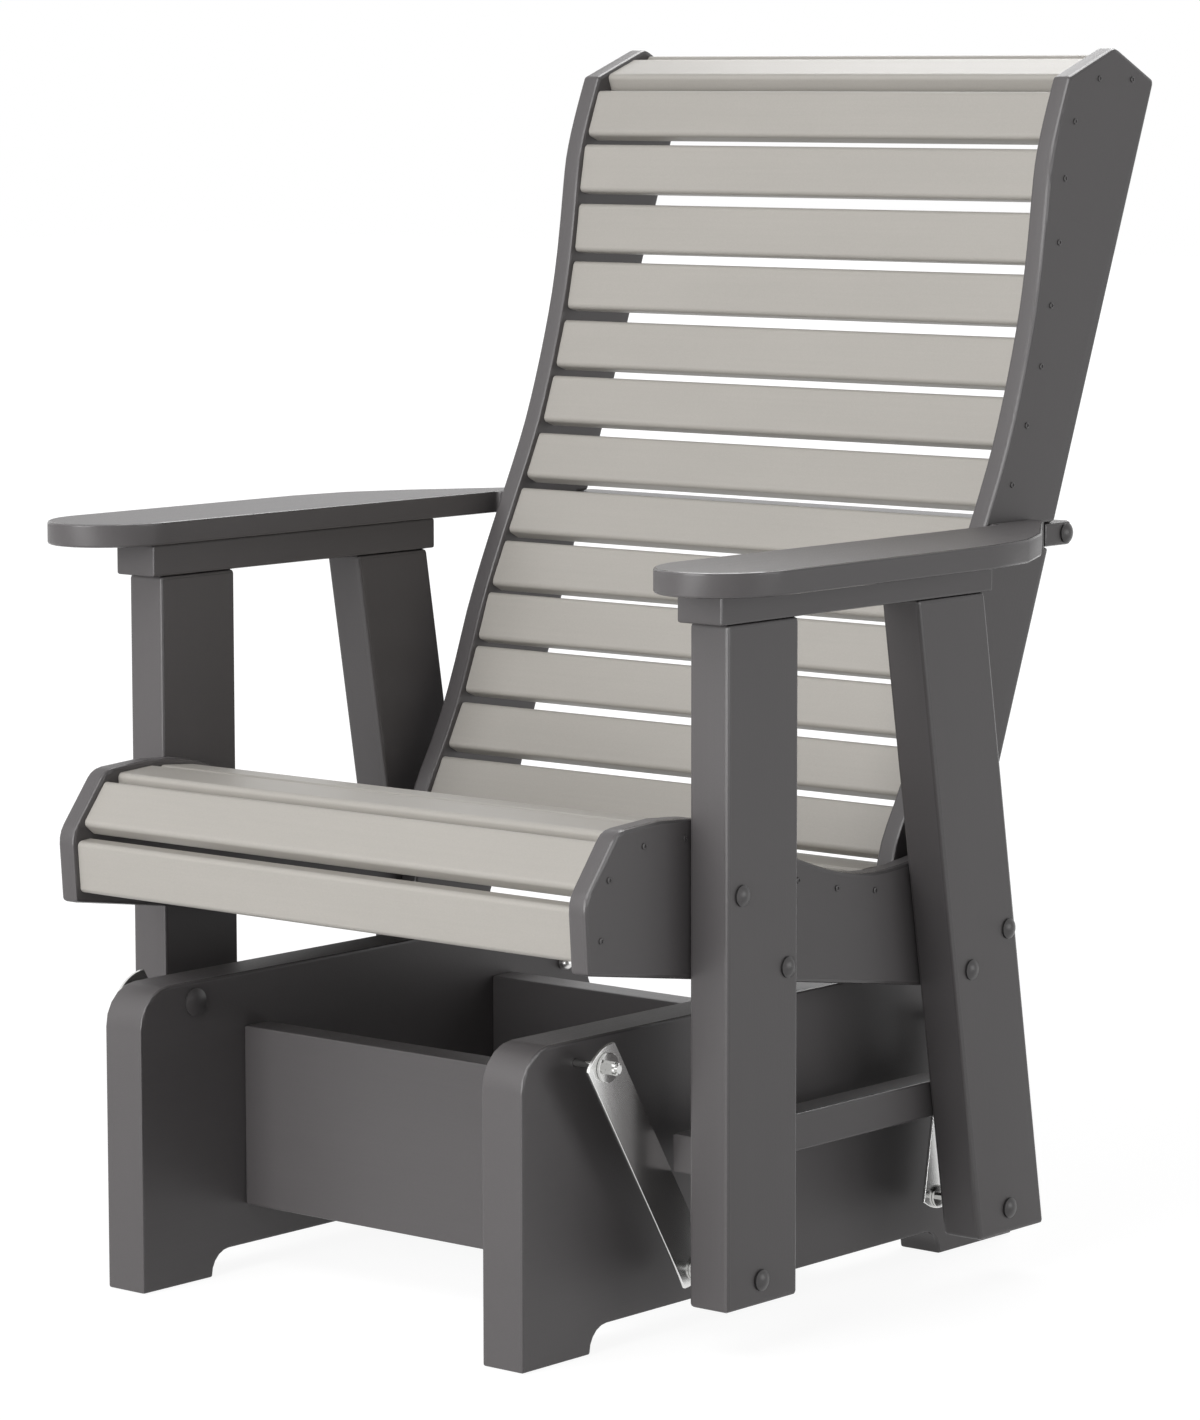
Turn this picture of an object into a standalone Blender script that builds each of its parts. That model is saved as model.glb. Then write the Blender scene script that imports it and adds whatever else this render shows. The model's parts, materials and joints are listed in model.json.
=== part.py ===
# Glider chair of slatted lumber: a fixed base, four steel swing links, and a seat frame
# with arms and a curved back that hangs from them. Metres, +Z up, front of the chair at -Y.

import bmesh
import bpy
from math import acos, atan2, ceil, cos, pi, radians, sin, sqrt, tan
from mathutils import Vector

# Fits and edges shared by all pieces
face_gap = 0.0003
hole_clearance = 0.0003
merge_distance = 0.000003
overrun = 0.004
lumber_edge = 0.0020
slat_edge = 0.0045
arc_step_angle = radians(18)
edge_segments = 2
ease_limit_angle = radians(38)
flat_limit_angle = radians(30)
round_limit_angle = radians(50)
round_sides = 18
dome_sides = 14
dome_rings = 3

# Base side panels, measured from the panel's front edge and the ground
base_half_width = 0.2280
base_panel_thickness = 0.0415
base_panel_height = 0.2540
base_panel_length = 0.6475
base_rear_edge_lean = radians(22.6)
base_top_front_radius = 0.0340
base_top_rear_radius = 0.0300
front_foot_length = 0.0815
rear_foot_length = 0.1060
foot_arch_height = 0.0215
foot_arch_radius = 0.0200

# Boards that tie the two base panels together
tie_board_thickness = 0.0290
tie_board_height = 0.1532
tie_board_bottom = 0.0556
front_tie_board_front = 0.1210
rear_tie_board_front = 0.4358

# Swing links and their four pivots on each side
front_upper_pivot_back = 0.0636
front_upper_pivot_height = 0.2364
rear_upper_pivot_back = 0.5320
rear_upper_pivot_height = 0.2077
front_lower_pivot_back = 0.1735
rear_lower_pivot_back = 0.5065
front_lower_pivot_height = 0.0583
rear_lower_pivot_height = 0.0599
front_link_stand_off = 0.0285
rear_link_stand_off = 0.0215
link_thickness = 0.0030
link_width = 0.0373
link_top_margin = 0.0100
link_bottom_margin = 0.0058
link_end_rise = 0.0048
link_edge = 0.0004
link_edge_segments = 1
link_arc_steps = 4
open_pivot_clearance = 0.0036

# Pivot bolts, nuts and washers
pivot_shank_radius = 0.0032
round_head_radius = 0.0115
round_head_height = 0.0032
washer_radius = 0.0118
washer_thickness = 0.0030
nut_flats = 6
castle_nut_radius = 0.0053
castle_nut_height = 0.0085
castle_slot_width = 0.0024
castle_slot_depth = 0.0034
bolt_tip_length = 0.0015
acorn_nut_radius = 0.0060
acorn_collar_height = 0.0045
acorn_dome_share = 0.9
lower_nut_radius = 0.0080
lower_nut_height = 0.0065
lower_washer_radius = 0.0095
lower_washer_thickness = 0.0020

# Seat frame legs
leg_stand_off = 0.0595
leg_thickness = 0.0385
leg_width = 0.0890
leg_bottom = 0.0382
leg_top = 0.5797
leg_edge = 0.0035
front_leg_front = 0.1308
rear_leg_top_front = 0.3755
rear_leg_lean = radians(9.55)

# Carriage bolts that show as domes on the legs
dome_radius = 0.0083
dome_height = 0.0045
front_leg_bolts = ((0.1488, 0.3672), (0.2063, 0.3037))
rear_leg_bolts = ((0.5018, 0.2967), (0.4508, 0.2687))
board_nut_radius = 0.0065
board_nut_collar = 0.0040

# Arm rails, arms and lower stretchers
rail_inner_overhang = 0.0030
rail_width = 0.0445
rail_height = 0.0267
rail_front = 0.1190
rail_length = 0.3535
arm_thickness = 0.0196
arm_inner_overhang = 0.0098
arm_width = 0.1090
arm_front = 0.0600
arm_nose_length = 0.0660
arm_taper_start = 0.4580
arm_taper_radius = 0.2000
arm_end_width = 0.0122
arm_end = 0.6090
arm_tip_radius = 0.0060
arm_tail_start = 0.5475
arm_tail_radius = 0.0040
arm_nose_steps = 16
stretcher_width = 0.0275
stretcher_height = 0.0310
stretcher_bottom = 0.1407
stretcher_front = 0.1438
stretcher_length = 0.3810

# Side boards of the seat, as an outline measured from the base's front edge
side_board_thickness = 0.0180
side_board_edge = 0.0030
seat_board_front_bottom = (0.0095, 0.3178)
seat_board_front_bend = (0.0055, 0.3752)
seat_board_front_top = (0.0450, 0.4257)
seat_bend_radius = 0.0250
seat_front_radius = 0.0200
seat_crown = (0.0970, 0.4287)
seat_scoop = ((0.1458, 0.4242), (0.2008, 0.4062), (0.2698, 0.3787), (0.3278, 0.3612), (0.3858, 0.3560))
seat_heel_top = (0.5308, 0.3652)
seat_heel_bottom = (0.5408, 0.2372)
seat_heel_top_radius = 0.0300
seat_heel_bottom_radius = 0.0450
seat_flat_end = 0.4708
seat_curve_steps = 4

# Side boards of the back: a plank with a straight rear edge that leans back. Heights run up
# that edge from the foot, and depths forward from it.
back_lean = radians(20.94)
back_foot = (0.5012, 0.2475)
back_toe = (0.4050, 0.2660)
back_length = 0.7987
back_depth = 0.1200
back_crest_drop = 0.0417
back_crest_depth = 0.1190
back_peak_rise = 0.0058
back_peak_depth = 0.0652
back_peak_radius = 0.0130
back_crest_radius = 0.0050
back_foot_radius = 0.0250
back_curve_steps = 2
back_height_shares = (0.055, 0.11, 0.15, 0.20, 0.26, 0.32, 0.38, 0.44, 0.50, 0.55,
                      0.60, 0.65, 0.70, 0.745, 0.785, 0.82, 0.85, 0.88, 0.915)
back_depth_shares = (0.942, 0.967, 0.925, 0.877, 0.862, 0.866, 0.843, 0.803, 0.760, 0.735,
                     0.736, 0.752, 0.783, 0.832, 0.888, 0.943, 0.984, 1.000, 1.000)

# Slats
slat_width = 0.0437
slat_thickness = 0.0186
slat_recess = 0.0050
cap_slat_recess = 0.0032
slat_arc_step = radians(45)
back_top_slat_drop = 0.0323
back_slat_span = 0.6286
back_low_slat_rise = 0.0500
back_slat_shares = (0, 0.0847, 0.1710, 0.2533, 0.3382, 0.4205, 0.5056, 0.5911, 0.6732, 0.7545,
                    0.8332, 0.9152, 1)
seat_top_slat_count = 7
seat_first_top_slat = 0.0803
seat_last_top_slat = 0.3703
front_slat_centre = 0.3470
nose_slat_share = 0.555
front_cap_share = 0.47
rear_cap_share = 0.42

# Bar across the rear of the back, let into its side boards
back_bar_height = 0.0205
back_bar_depth = 0.0380
back_bar_bottom = 0.6012
back_bar_rear = 0.6688
back_bar_bolt_inset = 0.0080

# Sizes that follow from the ones above
base_inner = base_half_width - base_panel_thickness
leg_inner = base_half_width + leg_stand_off
leg_outer = leg_inner + leg_thickness
seat_board_outer = leg_inner - face_gap
seat_board_inner = seat_board_outer - side_board_thickness
back_board_outer = seat_board_inner - face_gap
back_board_inner = back_board_outer - side_board_thickness
arm_inner = leg_inner - arm_inner_overhang
rail_bottom = leg_top + face_gap
arm_bottom = rail_bottom + rail_height + face_gap
front_upper_pivot = (front_upper_pivot_back, front_upper_pivot_height)
rear_upper_pivot = (rear_upper_pivot_back, rear_upper_pivot_height)
front_lower_pivot = (front_lower_pivot_back, front_lower_pivot_height)
rear_lower_pivot = (rear_lower_pivot_back, rear_lower_pivot_height)
front_link_inner = base_half_width + front_link_stand_off
front_link_outer = front_link_inner + link_thickness
rear_link_inner = base_half_width + rear_link_stand_off
rear_link_outer = rear_link_inner + link_thickness
sides = (("right", 1), ("left", -1))


# Plane geometry, on (y, z) or (x, y) pairs

def along(start, angle, distance, offset=0):
    """The point at a distance up a line that leans back by an angle, offset towards its front."""
    y = start[0] + distance * sin(angle) - offset * cos(angle)
    z = start[1] + distance * cos(angle) + offset * sin(angle)
    return (y, z)


def half_ellipse(centre, half_width, length, steps):
    """The points of half an ellipse that bulges towards the front, from left to right."""
    angles = [pi * step / steps for step in range(steps + 1)]
    return [(centre[0] - half_width * cos(angle), centre[1] - length * sin(angle)) for angle in angles]


def filleted(corners, step_angle=arc_step_angle):
    """An outline from (a, b, radius) corners, each with radius turned into an arc."""
    points = []
    count = len(corners)
    for index, (a, b, radius) in enumerate(corners):
        here = Vector((a, b))
        before = Vector(corners[index - 1][:2]) - here
        after = Vector(corners[(index + 1) % count][:2]) - here
        if radius == 0:
            points.append((a, b))
            continue
        before.normalize()
        after.normalize()
        opening = acos(before.dot(after))
        reach = radius / tan(opening / 2)
        centre = here + (before + after).normalized() * radius / sin(opening / 2)
        start = here + before * reach - centre
        end = here + after * reach - centre
        first = atan2(start.y, start.x)
        turn = (atan2(end.y, end.x) - first + pi) % (2 * pi) - pi
        steps = max(2, ceil(abs(turn) / step_angle))
        for step in range(steps + 1):
            angle = first + turn * step / steps
            points.append((centre.x + radius * cos(angle), centre.y + radius * sin(angle)))
    return points


def smooth_curve(points, steps):
    """A Catmull-Rom curve through points, with a number of steps to each stretch."""
    first = Vector(points[0]) * 2 - Vector(points[1])
    last = Vector(points[-1]) * 2 - Vector(points[-2])
    knots = [first] + [Vector(point) for point in points] + [last]
    curve = []
    for index in range(1, len(knots) - 2):
        a, b, c, d = knots[index - 1:index + 3]
        for step in range(steps):
            t = step / steps
            curve.append((b * 2 + (c - a) * t + (a * 2 - b * 5 + c * 4 - d) * t ** 2
                          + (b * 3 - a - c * 3 + d) * t ** 3) / 2)
    curve.append(knots[-2])
    return [(point.x, point.y) for point in curve]


def stations(curve, starts):
    """Points on a curve, with the curve's direction there, at given distances along it."""
    found = []
    for wanted in starts:
        travelled = 0
        for a, b in zip(curve, curve[1:]):
            step = Vector(b) - Vector(a)
            if travelled + step.length >= wanted or b == curve[-1]:
                place = Vector(a) + step.normalized() * (wanted - travelled)
                found.append((place, step.normalized()))
                break
            travelled += step.length
    return found


def length_to(curve, axis, value):
    """The distance along a curve at which one coordinate reaches a value."""
    travelled = 0
    for a, b in zip(curve, curve[1:]):
        step = (Vector(b) - Vector(a)).length
        if (a[axis] - value) * (b[axis] - value) <= 0:
            return travelled + step * (value - a[axis]) / (b[axis] - a[axis])
        travelled += step
    return travelled


def evenly(first, last, count):
    return [first + (last - first) * index / (count - 1) for index in range(count)]


# Objects and materials

def lumber_material(name, colour, roughness, metallic):
    made = bpy.data.materials.new(name)
    made.use_nodes = True
    shader = made.node_tree.nodes["Principled BSDF"]
    shader.inputs["Base Color"].default_value = (*colour, 1)
    shader.inputs["Roughness"].default_value = roughness
    shader.inputs["Metallic"].default_value = metallic
    return made


def put(name, mesh, material, parent, location=(0, 0, 0), lean=0):
    """An object that shows a mesh, with its material, under a parent."""
    made = bpy.data.objects.new(name, mesh)
    if material:
        mesh.materials.clear()
        mesh.materials.append(material)
    bpy.context.collection.objects.link(made)
    made.parent = parent
    made.location = location
    made.rotation_euler.x = lean
    return made


def extruded(outline, axis, low, high):
    """A mesh of an outline extruded along x or z between two values."""
    solid = bmesh.new()
    if axis == "x":
        corners = [solid.verts.new((low, a, b)) for a, b in outline]
        push = Vector((high - low, 0, 0))
    else:
        corners = [solid.verts.new((a, b, low)) for a, b in outline]
        push = Vector((0, 0, high - low))
    face = solid.faces.new(corners)
    grown = bmesh.ops.extrude_face_region(solid, geom=[face])["geom"]
    moved = [item for item in grown if isinstance(item, bmesh.types.BMVert)]
    bmesh.ops.translate(solid, verts=moved, vec=push)
    bmesh.ops.recalc_face_normals(solid, faces=solid.faces)
    mesh = bpy.data.meshes.new("outline")
    solid.to_mesh(mesh)
    solid.free()
    return mesh


def turned(profile, sides_count=round_sides):
    """A mesh of an (x, radius) profile turned about the x axis, from one axis point to another."""
    solid = bmesh.new()
    points = [solid.verts.new((x, 0, radius)) for x, radius in profile]
    edges = [solid.edges.new(pair) for pair in zip(points, points[1:])]
    bmesh.ops.spin(solid, geom=points + edges, cent=(0, 0, 0), axis=(1, 0, 0),
                   angle=2 * pi, steps=sides_count, use_merge=True)
    bmesh.ops.remove_doubles(solid, verts=solid.verts, dist=merge_distance)
    bmesh.ops.recalc_face_normals(solid, faces=solid.faces)
    mesh = bpy.data.meshes.new("turned")
    solid.to_mesh(mesh)
    solid.free()
    mesh.shade_smooth()
    mesh.set_sharp_from_angle(angle=flat_limit_angle)
    return mesh


def ease_edges(piece, width, segments=edge_segments):
    """Rounds every edge sharper than the steps of the outline's arcs."""
    bevel = piece.modifiers.new("eased edges", "BEVEL")
    bevel.width = width
    bevel.segments = segments
    bevel.limit_method = "ANGLE"
    bevel.angle_limit = ease_limit_angle
    bevel.use_clamp_overlap = False
    piece.data.shade_smooth()
    piece.data.set_sharp_from_angle(angle=flat_limit_angle)


def tool(name, mesh, parent, location):
    """A hidden solid that cuts or joins another piece."""
    made = put(name, mesh, None, parent, location)
    made.hide_render = True
    made.display_type = "WIRE"
    return made


def combine(piece, other, operation):
    change = piece.modifiers.new(other.name, "BOOLEAN")
    change.operation = operation
    change.solver = "EXACT"
    change.object = other


def bore(piece, centre, radius, low, high, sides_count=round_sides):
    """Cuts a round hole along x through a piece, at a (y, z) centre in the piece's own frame."""
    rod = turned([(low, 0), (low, radius), (high, radius), (high, 0)], sides_count)
    cutter = tool(piece.name + "_bore", rod, piece.parent, piece.matrix_basis @ Vector((0, *centre)))
    combine(piece, cutter, "DIFFERENCE")


def dome_profile(face, radius, height, direction, root):
    """A low round head that stands on a face and is rooted in the piece behind it."""
    ball = (radius ** 2 + height ** 2) / (2 * height)
    span = acos((ball - height) / ball)
    profile = [(face - direction * root, 0), (face - direction * root, radius)]
    for ring in range(dome_rings + 1):
        angle = span * (1 - ring / dome_rings)
        profile.append((face + direction * (ball * cos(angle) - ball + height), ball * sin(angle)))
    return profile


def acorn_profile(face, radius, collar, direction, root=0):
    """A domed nut that stands on a face, with its axis on x, rooted in the piece behind it."""
    dome = radius * acorn_dome_share
    profile = [(face - direction * root, 0), (face - direction * root, radius)]
    profile.append((face + direction * collar, radius))
    for ring in range(dome_rings):
        angle = pi / 2 * ring / dome_rings
        profile.append((face + direction * (collar + dome * sin(angle)), dome * cos(angle)))
    return profile + [(face + direction * (collar + dome), 0)]


def join_rounds(piece, name, profile, centres):
    """Joins the same turned shape onto a piece at several (y, z) centres."""
    for number, (y, z) in enumerate(centres, 1):
        round_piece = tool(f"{name}_{number}", turned(profile, dome_sides), piece.parent,
                           piece.matrix_basis @ Vector((0, y, z)))
        combine(piece, round_piece, "UNION")


# The scene's start, and the two frames that carry the pieces

for old in list(bpy.data.objects):
    bpy.data.objects.remove(old, do_unlink=True)

dark_lumber = lumber_material("dark_lumber", (0.105, 0.099, 0.097), 0.55, 0)
pale_lumber = lumber_material("pale_lumber", (0.50, 0.475, 0.44), 0.55, 0)
steel = lumber_material("steel", (0.62, 0.62, 0.61), 0.22, 1)


def back_point(distance, depth):
    """A point of the back's side board, from its height up the rear edge and its depth."""
    return along(back_foot, back_lean, distance, depth)


back_peak = back_point(back_length + back_peak_rise, back_peak_depth)
back_crest = back_point(back_length - back_crest_drop, back_crest_depth)
back_top_rear = back_point(back_length, 0)
overall_depth = back_top_rear[0]

chair = bpy.data.objects.new("chair", None)
bpy.context.collection.objects.link(chair)
chair.location.y = -overall_depth / 2

seat_frame = bpy.data.objects.new("seat_frame", None)
bpy.context.collection.objects.link(seat_frame)
seat_frame.parent = chair
seat_frame.location = (0, *front_lower_pivot)
in_seat_frame = (0, -front_lower_pivot[0], -front_lower_pivot[1])


def fixed_piece(name, mesh, material):
    return put(name, mesh, material, chair)


def gliding_piece(name, mesh, material):
    return put(name, mesh, material, seat_frame, in_seat_frame)


def box_outline(low, high):
    return [(low[0], low[1]), (high[0], low[1]), (high[0], high[1]), (low[0], high[1])]


# Base: two side panels on feet, tied by a front board and a rear board

panel_rear_at_top = base_panel_length - base_panel_height * tan(base_rear_edge_lean)
rear_foot_front = base_panel_length - rear_foot_length
panel_outline = filleted((
    (0, 0, 0),
    (front_foot_length, 0, 0),
    (front_foot_length, foot_arch_height, foot_arch_radius),
    (rear_foot_front, foot_arch_height, foot_arch_radius),
    (rear_foot_front, 0, 0),
    (base_panel_length, 0, 0),
    (panel_rear_at_top, base_panel_height, base_top_rear_radius),
    (0, base_panel_height, base_top_front_radius),
))
for side, sign in sides:
    panel = fixed_piece(f"base_panel_{side}", extruded(panel_outline, "x", sign * base_inner,
                                                       sign * base_half_width), dark_lumber)
    ease_edges(panel, lumber_edge)
    for pivot in (front_upper_pivot, rear_upper_pivot):
        bore(panel, pivot, pivot_shank_radius + hole_clearance, sign * (base_inner - overrun),
             sign * (base_half_width + overrun))

for name, front in (("base_front_board", front_tie_board_front), ("base_rear_board", rear_tie_board_front)):
    outline = box_outline((front, tie_board_bottom),
                          (front + tie_board_thickness, tie_board_bottom + tie_board_height))
    board = fixed_piece(name, extruded(outline, "x", face_gap - base_inner, base_inner - face_gap),
                        dark_lumber)
    ease_edges(board, lumber_edge)


# Swing links: flat steel bars with arched ends, each with its origin on its upper pivot

def link_end(height, direction):
    """A shallow arc across a link, whose ends lie at a height, bulging up or down."""
    half = link_width / 2
    arc_radius = (half ** 2 + link_end_rise ** 2) / (2 * link_end_rise)
    spread = atan2(half, arc_radius - link_end_rise)
    points = []
    for step in range(-link_arc_steps, link_arc_steps + 1):
        angle = -direction * spread * step / link_arc_steps
        points.append((arc_radius * sin(angle),
                       height + direction * (link_end_rise - arc_radius * (1 - cos(angle)))))
    return points


def swing_link(name, ends, upper, lower, lower_clearance):
    """A bar that hangs from its upper pivot, between two x values, down to its lower pivot."""
    reach = Vector(lower) - Vector(upper)
    outline = link_end(link_top_margin, 1) + link_end(-reach.length - link_bottom_margin, -1)
    link = put(name, extruded(outline, "x", *ends), steel, chair, (0, *upper), atan2(reach.x, -reach.y))
    ease_edges(link, link_edge, link_edge_segments)
    through = (min(ends) - overrun, max(ends) + overrun)
    bore(link, (0, 0), pivot_shank_radius + hole_clearance, *through)
    bore(link, (0, -reach.length), pivot_shank_radius + lower_clearance, *through)


for side, sign in sides:
    swing_link(f"front_link_{side}", (sign * front_link_inner, sign * front_link_outer),
               front_upper_pivot, front_lower_pivot, hole_clearance)
    swing_link(f"rear_link_{side}", (sign * rear_link_inner, sign * rear_link_outer),
               rear_upper_pivot, rear_lower_pivot, open_pivot_clearance)


# Upper pivots: a bolt through each base panel and link, and the nut that ends it

def rod_with_head(head, shank_start, shank_end):
    """A shank profile that ends flat, after the profile of its head."""
    return head + [(shank_start, pivot_shank_radius), (shank_end, pivot_shank_radius), (shank_end, 0)]


def mirrored_profile(profile, sign):
    return [(sign * x, radius) for x, radius in profile]


def round_head(face, direction):
    """A round bolt head on a face, from its crown down to its rim."""
    return list(reversed(dome_profile(face, round_head_radius, round_head_height, direction, 0)[2:]))


washer_outer = front_link_outer + face_gap + washer_thickness
castle_outer = washer_outer + castle_nut_height


def castle_nut_mesh(sign):
    """A washer and a six-sided nut in one, with a slot across each pair of flats."""
    nut = bmesh.new()
    corner_radius = castle_nut_radius / cos(pi / nut_flats)
    turns = [2 * pi * number / nut_flats for number in range(nut_flats)]
    hexagon = [(corner_radius * cos(turn), corner_radius * sin(turn)) for turn in turns]
    face = nut.faces.new([nut.verts.new((sign * washer_outer, y, z)) for y, z in hexagon])
    grown = bmesh.ops.extrude_face_region(nut, geom=[face])["geom"]
    bmesh.ops.translate(nut, verts=[v for v in grown if isinstance(v, bmesh.types.BMVert)],
                        vec=(sign * castle_nut_height, 0, 0))
    bmesh.ops.recalc_face_normals(nut, faces=nut.faces)
    mesh = bpy.data.meshes.new("castle")
    nut.to_mesh(mesh)
    nut.free()
    return mesh


for side, sign in sides:
    profile = rod_with_head(round_head(base_inner - face_gap, -1), base_inner - face_gap,
                            castle_outer + bolt_tip_length)
    put(f"front_upper_bolt_{side}", turned(mirrored_profile(profile, sign)), steel, chair,
        (0, *front_upper_pivot))

    nut = put(f"front_upper_nut_{side}", castle_nut_mesh(sign), steel, chair, (0, *front_upper_pivot))
    washer_inner = front_link_outer + face_gap
    washer = turned(mirrored_profile([(washer_inner, 0), (washer_inner, washer_radius),
                                      (washer_outer, washer_radius), (washer_outer, 0)], sign))
    combine(nut, tool(nut.name + "_washer", washer, chair, nut.location), "UNION")
    for number in range(nut_flats // 2):
        slot_half = castle_slot_width / 2
        slot_outline = box_outline((-washer_radius, -slot_half), (washer_radius, slot_half))
        slot = tool(f"{nut.name}_slot_{number}", extruded(slot_outline, "x",
                    sign * (castle_outer - castle_slot_depth), sign * (castle_outer + overrun)),
                    chair, nut.location)
        slot.rotation_euler.x = 2 * pi * number / nut_flats
        combine(nut, slot, "DIFFERENCE")
    bore(nut, (0, 0), pivot_shank_radius + hole_clearance, sign * (front_link_outer - overrun),
         sign * (castle_outer + overrun))

    profile = rod_with_head(round_head(rear_link_outer + face_gap, 1), rear_link_outer + face_gap,
                            base_inner - face_gap - acorn_collar_height)
    put(f"rear_upper_bolt_{side}", turned(mirrored_profile(profile, sign)), steel, chair,
        (0, *rear_upper_pivot))

    acorn = acorn_profile(base_inner - face_gap, acorn_nut_radius, acorn_collar_height, -1)
    nut = put(f"rear_upper_nut_{side}", turned(mirrored_profile(acorn, sign)), steel, chair,
              (0, *rear_upper_pivot))
    bore(nut, (0, 0), pivot_shank_radius + hole_clearance, sign * (base_inner + overrun),
         sign * (base_inner - face_gap * 2 - acorn_collar_height))


# Legs: an upright front leg and a leaning rear leg on each side

rear_leg_height = leg_top - leg_bottom
rear_leg_run = rear_leg_height * tan(rear_leg_lean)
rear_leg_depth = leg_width / cos(rear_leg_lean)
rear_leg_bottom_front = rear_leg_top_front + rear_leg_run
leg_outlines = {
    "front_leg": box_outline((front_leg_front, leg_bottom), (front_leg_front + leg_width, leg_top)),
    "rear_leg": [
        (rear_leg_bottom_front, leg_bottom),
        (rear_leg_bottom_front + rear_leg_depth, leg_bottom),
        (rear_leg_top_front + rear_leg_depth, leg_top),
        (rear_leg_top_front, leg_top),
    ],
}
leg_bolts = {"front_leg": front_leg_bolts, "rear_leg": rear_leg_bolts}
leg_pivots = {"front_leg": front_lower_pivot, "rear_leg": rear_lower_pivot}
for side, sign in sides:
    for name, outline in leg_outlines.items():
        leg = gliding_piece(f"{name}_{side}", extruded(outline, "x", sign * leg_inner, sign * leg_outer),
                            dark_lumber)
        ease_edges(leg, leg_edge)
        bore(leg, leg_pivots[name], pivot_shank_radius + hole_clearance, sign * (leg_inner - overrun),
             sign * (leg_outer + overrun))
        dome = dome_profile(leg_outer, dome_radius, dome_height, 1, leg_edge)
        join_rounds(leg, f"{name}_{side}_bolt", mirrored_profile(dome, sign), leg_bolts[name])


# Lower pivot bolts: a domed head outside the leg, the shank across to a washer outside the
# link, and the nut behind the link

for side, sign in sides:
    for name, pivot, inner, outer in (
            ("front", front_lower_pivot, front_link_inner, front_link_outer),
            ("rear", rear_lower_pivot, rear_link_inner, rear_link_outer)):
        head = dome_profile(leg_outer + face_gap, dome_radius, dome_height, 1, 0)[1:]
        washer_inner = outer + face_gap
        profile = list(reversed(head)) + [
            (leg_outer + face_gap, pivot_shank_radius),
            (washer_inner + lower_washer_thickness, pivot_shank_radius),
            (washer_inner + lower_washer_thickness, lower_washer_radius),
            (washer_inner, lower_washer_radius),
            (washer_inner, pivot_shank_radius),
            (inner - face_gap, pivot_shank_radius),
            (inner - face_gap, lower_nut_radius),
            (inner - face_gap - lower_nut_height, lower_nut_radius),
            (inner - face_gap - lower_nut_height, 0),
        ]
        put(f"{name}_lower_bolt_{side}", turned(mirrored_profile(profile, sign)), steel, seat_frame,
            (0, pivot[0] + in_seat_frame[1], pivot[1] + in_seat_frame[2]))


# Arm rails, arm boards and lower stretchers

arm_outer = arm_inner + arm_width
arm_nose = (arm_inner + arm_width / 2, arm_front + arm_nose_length)
arm_tail_inner = back_board_outer + face_gap
arm_outline = half_ellipse(arm_nose, arm_width / 2, arm_nose_length, arm_nose_steps) + filleted((
    (arm_outer, arm_nose[1], 0),
    (arm_outer, arm_taper_start, arm_taper_radius),
    (arm_tail_inner + arm_end_width, arm_end, arm_tip_radius),
    (arm_tail_inner, arm_end, 0),
    (arm_tail_inner, arm_tail_start, 0),
    (arm_inner, arm_tail_start + arm_inner - arm_tail_inner, arm_tail_radius),
    (arm_inner, arm_nose[1], 0),
))[1:-1]
rail_inner = leg_inner - rail_inner_overhang
for side, sign in sides:
    outline = box_outline((rail_front, rail_bottom), (rail_front + rail_length, rail_bottom + rail_height))
    rail = gliding_piece(f"arm_rail_{side}", extruded(outline, "x", sign * rail_inner,
                                                      sign * (rail_inner + rail_width)), dark_lumber)
    ease_edges(rail, lumber_edge)

    outline = [(sign * x, y) for x, y in arm_outline]
    arm = gliding_piece(f"arm_{side}", extruded(outline, "z", arm_bottom, arm_bottom + arm_thickness),
                        dark_lumber)
    ease_edges(arm, lumber_edge)

    outline = box_outline((stretcher_front, stretcher_bottom),
                          (stretcher_front + stretcher_length, stretcher_bottom + stretcher_height))
    outer = leg_inner - face_gap
    stretcher = gliding_piece(f"stretcher_{side}", extruded(outline, "x", sign * (outer - stretcher_width),
                                                            sign * outer), dark_lumber)
    ease_edges(stretcher, lumber_edge)


# Seat side boards, with the scooped edge that the slats follow

seat_front_corner = (*seat_board_front_top, seat_front_radius)
nose_corners = filleted(((*seat_board_front_bottom, 0), (*seat_board_front_bend, seat_bend_radius),
                         seat_front_corner, (*seat_crown, 0)))
seat_edge = smooth_curve([seat_crown, *seat_scoop, (seat_flat_end, seat_heel_top[1])], seat_curve_steps)
heel_corners = filleted(((*seat_crown, 0), (*seat_heel_top, seat_heel_top_radius),
                         (*seat_heel_bottom, seat_heel_bottom_radius), (*seat_board_front_bottom, 0)))
seat_outline = nose_corners[:-1] + seat_edge + heel_corners[1:-1]
for side, sign in sides:
    board = gliding_piece(f"seat_board_{side}", extruded(seat_outline, "x", sign * seat_board_inner,
                                                         sign * seat_board_outer), dark_lumber)
    ease_edges(board, side_board_edge)
    nut = acorn_profile(seat_board_inner, board_nut_radius, board_nut_collar, -1, side_board_edge)
    join_rounds(board, f"seat_board_{side}_nut", mirrored_profile(nut, sign), front_leg_bolts)


# Back side boards, with their curved front edge and peaked top

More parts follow.
